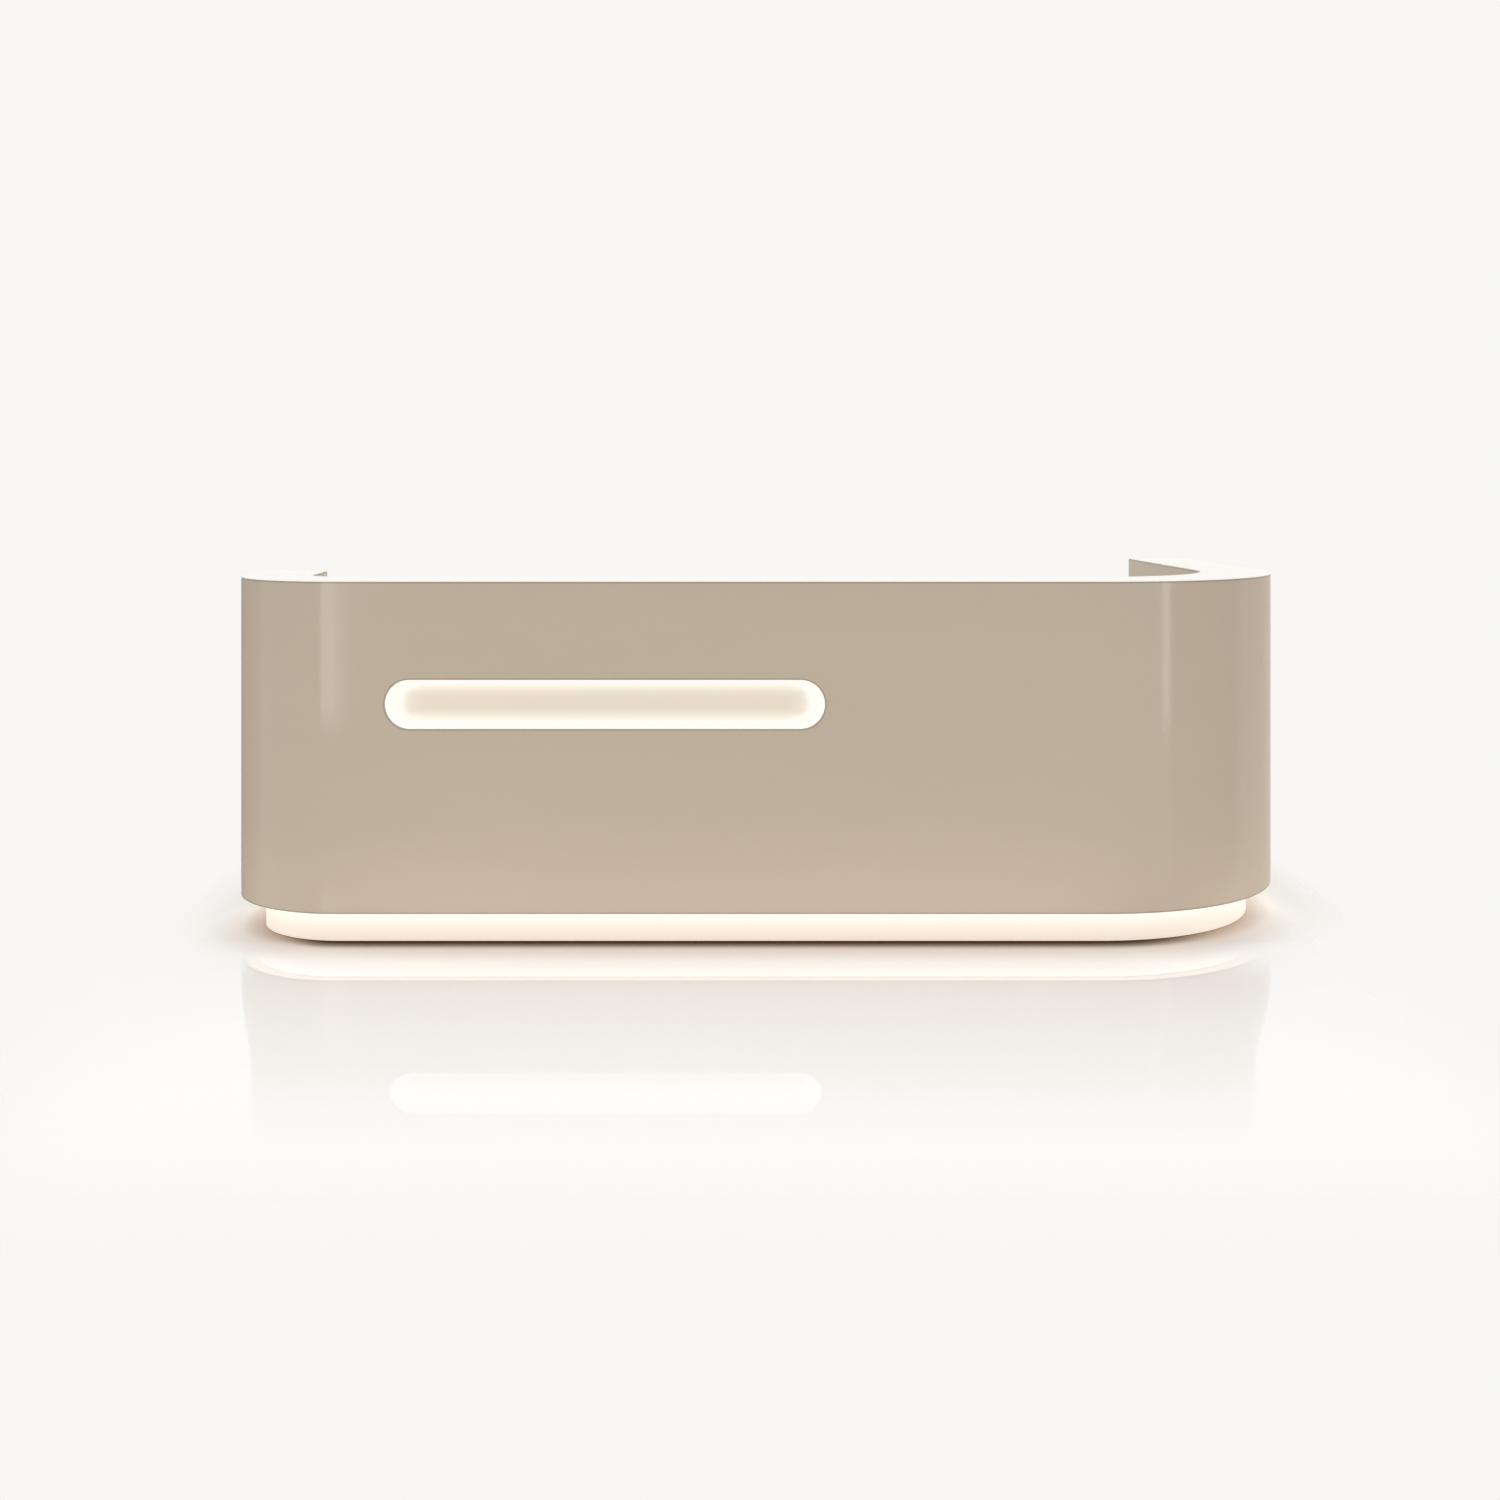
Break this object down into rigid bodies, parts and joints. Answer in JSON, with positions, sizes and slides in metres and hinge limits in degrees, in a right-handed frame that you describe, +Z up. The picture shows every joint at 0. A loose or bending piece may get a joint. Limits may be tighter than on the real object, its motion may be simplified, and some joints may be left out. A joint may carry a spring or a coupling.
{
  "type": "reception desk",
  "caption": "Curved reception desk with a hollow gloss wall, thin white ledge, lit round-ended niche and lit recessed plinth; worktop, drawers and cupboard on the staff side.",
  "frame": {"origin": "on the floor, in the middle of the desk's length and depth", "axes": "+X along the visitor's front from the short return to the long wing, +Y from the visitor's side to the staff side, +Z up"},
  "size_m": [3.04, 1.41, 1],
  "materials": {
    "lacquer": "high-gloss taupe lacquer on bent board",
    "white_ledge": "thin white solid-surface sheet, satin",
    "core_board": "raw plywood, hidden",
    "bolt_steel": "zinc-plated",
    "plinth_white": "warm white lacquer, washed by the light above",
    "foot_steel": "zinc-plated",
    "niche_white": "warm white, washed by the light ring",
    "opal_light": "opal diffuser over warm white light strip",
    "profile_aluminium": "anodised",
    "driver_case": "moulded",
    "switch_plastic": "moulded",
    "worktop_laminate": "satin off-white laminate",
    "grommet_plastic": "fine-textured",
    "bracket_steel": "powder-coated",
    "carcass_board": "melamine-faced board",
    "kick_board": "dark melamine-faced board",
    "drawer_board": "melamine-faced board",
    "runner_steel": "zinc-plated",
    "lock_chrome": "polished",
    "hinge_steel": "satin nickel"
  },
  "bodies": {
    "desk": {"front_panel": "lacquer", "left_panel": "lacquer", "right_panel": "lacquer", "left_end_panel": "lacquer", "right_end_panel": "lacquer", "inner_front_panel": "lacquer", "inner_left_panel": "lacquer", "inner_right_panel": "lacquer", "pedestal_sides": "lacquer", "cupboard_sides": "lacquer", "ledge_front": "white_ledge", "ledge_left": "white_ledge", "ledge_right": "white_ledge", "base_boards": "core_board", "sub_top_boards": "core_board", "formers": "core_board", "section_bolts": "bolt_steel", "plinth_front": "plinth_white", "plinth_left": "plinth_white", "plinth_right": "plinth_white", "plinth_end_boards": "plinth_white", "inner_plinth_boards": "plinth_white", "levelling_feet": "foot_steel", "niche_surround": "niche_white", "niche_back": "niche_white", "niche_light": "opal_light", "plinth_light_diffuser": "opal_light", "plinth_light_profile": "profile_aluminium", "led_drivers": "driver_case", "switch_plate": "switch_plastic", "main_worktop": "worktop_laminate", "return_worktop": "worktop_laminate", "cable_grommets": "grommet_plastic", "worktop_brackets": "bracket_steel", "support_leg": "bracket_steel", "pedestal_top": "carcass_board", "pedestal_back": "carcass_board", "pedestal_bottom": "carcass_board", "cupboard_bottom": "carcass_board", "cupboard_shelf": "carcass_board", "cupboard_back": "carcass_board", "kick_boards": "kick_board", "cabinet_runners": "runner_steel", "hinge_frame_leaves": "hinge_steel", "hinge_pins": "hinge_steel"},
    "lower_drawer": {"lower_drawer_front": "lacquer", "lower_drawer_box": "drawer_board", "lower_drawer_runners": "runner_steel"},
    "middle_drawer": {"middle_drawer_front": "lacquer", "middle_drawer_box": "drawer_board", "middle_drawer_runners": "runner_steel"},
    "upper_drawer": {"upper_drawer_front": "lacquer", "upper_drawer_box": "drawer_board", "upper_drawer_runners": "runner_steel"},
    "lock_cylinder": {"drawer_lock": "lock_chrome"},
    "near_cupboard_door": {"near_door": "lacquer", "near_door_leaves": "hinge_steel"},
    "far_cupboard_door": {"far_door": "lacquer", "far_door_leaves": "hinge_steel"},
    "switch_rocker": {"light_rocker": "switch_plastic"}
  },
  "joints": [
    {"name": "lower_drawer_slide", "type": "slide", "parent": "desk", "child": "lower_drawer", "axis": [0, 1, 0], "range_m": [0, 0.33]},
    {"name": "middle_drawer_slide", "type": "slide", "parent": "desk", "child": "middle_drawer", "axis": [0, 1, 0], "range_m": [0, 0.33]},
    {"name": "upper_drawer_slide", "type": "slide", "parent": "desk", "child": "upper_drawer", "axis": [0, 1, 0], "range_m": [0, 0.33]},
    {"name": "lock_turn", "type": "hinge", "parent": "upper_drawer", "child": "lock_cylinder", "pos_m": [-1.06, 0.087, 0.699], "axis": [0, -1, 0], "range_deg": [0, 90]},
    {"name": "near_door_hinge", "type": "hinge", "parent": "desk", "child": "near_cupboard_door", "pos_m": [0.847, 0.169, 0.17], "axis": [0, 0, 1], "range_deg": [0, 100]},
    {"name": "far_door_hinge", "type": "hinge", "parent": "desk", "child": "far_cupboard_door", "pos_m": [0.847, 0.697, 0.17], "axis": [0, 0, -1], "range_deg": [0, 100]},
    {"name": "light_rocker_tilt", "type": "hinge", "parent": "desk", "child": "switch_rocker", "pos_m": [-0.62, -0.496, 0.875], "axis": [1, 0, 0], "range_deg": [-10, 0]}
  ]
}
